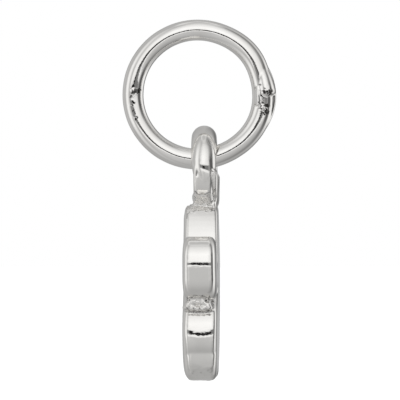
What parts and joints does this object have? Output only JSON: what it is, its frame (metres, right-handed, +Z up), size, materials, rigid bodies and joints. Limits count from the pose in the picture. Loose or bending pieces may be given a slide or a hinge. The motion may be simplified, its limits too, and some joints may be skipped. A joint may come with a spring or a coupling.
{
  "type": "paw print pendant",
  "caption": "Polished silver paw print charm, domed in front and flat behind, hanging by its cast eye from a soldered round jump ring for a chain.",
  "frame": {"origin": "inner top of the jump ring, on its wire, where the chain carries the pendant", "axes": "+Z up as it hangs, -Y the domed front of the paw, +X to the paw's side; the chain runs along X through the jump ring"},
  "size_m": [0.009, 0.0074, 0.0172],
  "materials": {
    "wire_silver": "polished sterling silver wire with fine draw marks",
    "cast_silver": "polished sterling silver casting, rough as cast in the corners"
  },
  "bodies": {
    "ring": {"jump_ring": "wire_silver"},
    "paw": {"paw_charm": "cast_silver"}
  },
  "joints": [
    {"name": "paw_swing", "type": "hinge", "parent": "ring", "child": "paw", "pos_m": [0, 0, -0.00565], "axis": [0, 1, 0], "range_deg": [-120, 120]}
  ]
}
